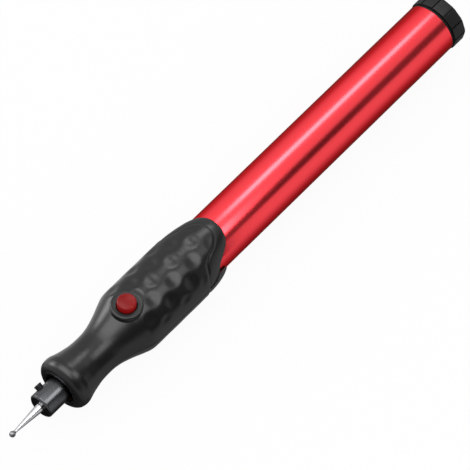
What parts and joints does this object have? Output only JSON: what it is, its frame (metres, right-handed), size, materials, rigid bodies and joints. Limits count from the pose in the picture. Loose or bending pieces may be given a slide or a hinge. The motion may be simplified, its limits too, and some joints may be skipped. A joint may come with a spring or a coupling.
{
  "type": "electric engraving pen",
  "caption": "Battery engraving pen: dark dimpled grip with a push button, steel chuck holding a ball-ended bit, slim red barrel and a threaded black end cap.",
  "frame": {"origin": "at the middle of the pen's box: halfway between the end of the bit and the cap's rear face, and 0.88 mm from the pen's axis towards the button", "axes": "+X from the bit towards the end cap along the pen's axis, +Z towards the push button, +Y to the right when the button is up and the pen is seen from its cap end"},
  "size_m": [0.1654, 0.0182, 0.02],
  "materials": {
    "grip_plastic": "black moulded plastic with a soft shine and a hammered pattern",
    "anodised_tube": "red anodised aluminium with a satin shine",
    "black_plastic": "black moulded plastic with a fine grain",
    "red_plastic": "red moulded plastic with a soft shine",
    "dark_steel": "blackened steel, turned and lightly polished",
    "black_steel": "black oxide steel",
    "bright_steel": "bright polished steel",
    "bush_bronze": "oiled bronze",
    "contact_brass": "bright brass sheet",
    "copper": "bare or enamelled copper",
    "dark_iron": "dark iron and ferrite",
    "white_plastic": "natural white plastic",
    "black_rubber": "black rubber",
    "cell_jacket": "plain green jacket with no marks",
    "red_insulation": "red plastic insulation",
    "black_insulation": "black plastic insulation"
  },
  "bodies": {
    "housing": {"grip_shell_top": "grip_plastic", "grip_shell_bottom": "grip_plastic", "barrel_tube": "anodised_tube", "front_bush": "bush_bronze", "battery_sleeve": "white_plastic", "battery_front": "cell_jacket", "battery_rear": "cell_jacket", "contact_carrier": "white_plastic", "front_contact_plate": "contact_brass", "ground_clip": "contact_brass", "motor_can": "bright_steel", "motor_end_bell": "white_plastic", "motor_magnet_upper": "dark_iron", "motor_magnet_lower": "dark_iron", "motor_brush_left": "copper", "motor_brush_right": "copper", "motor_terminal_left": "contact_brass", "motor_terminal_right": "contact_brass", "switch_body": "black_plastic", "switch_terminal_front": "contact_brass", "switch_terminal_rear": "contact_brass", "lead_contact_to_switch": "red_insulation", "lead_switch_to_motor": "red_insulation", "lead_clip_to_motor": "black_insulation"},
    "spindle": {"spindle_chuck": "dark_steel", "shaft_coupling": "black_rubber", "motor_shaft": "bright_steel", "armature_core": "dark_iron", "armature_winding_1": "copper", "armature_winding_2": "copper", "armature_winding_3": "copper", "commutator": "copper"},
    "bit": {"engraving_bit": "bright_steel"},
    "chuck_screw": {"set_screw": "black_steel"},
    "button": {"push_button": "red_plastic", "switch_plunger": "white_plastic", "button_spring": "bright_steel"},
    "cap_carrier": {"cap_contact_plate": "contact_brass", "cap_spring": "bright_steel"},
    "cap": {"end_cap": "black_plastic", "cap_seal": "black_rubber"}
  },
  "joints": [
    {"name": "spindle_spin", "type": "hinge", "parent": "housing", "child": "spindle", "pos_m": [0, 0, -0.00088], "axis": [1, 0, 0], "continuous": true},
    {"name": "bit_slide", "type": "slide", "parent": "spindle", "child": "bit", "axis": [-1, 0, 0], "range_m": [0, 0.0145]},
    {"name": "screw_travel", "type": "slide", "parent": "spindle", "child": "chuck_screw", "axis": [0, 0.891, 0.454], "range_m": [0, 0.0016]},
    {"name": "button_press", "type": "slide", "parent": "housing", "child": "button", "axis": [0, 0, -1], "range_m": [0, 0.0008], "stiffness_N_per_m": 400, "springref_m": -0.002, "deforming": ["button_spring"]},
    {"name": "cap_lift", "type": "slide", "parent": "housing", "child": "cap_carrier", "axis": [1, 0, 0], "range_m": [0, 0.00525]},
    {"name": "cap_turn", "type": "hinge", "parent": "cap_carrier", "child": "cap", "pos_m": [0, 0, -0.00088], "axis": [1, 0, 0], "range_deg": [0, 1512]}
  ],
  "couplings": [
    {"joint": "cap_turn", "follows": "cap_lift", "rad_per_m": 5026.5}
  ]
}
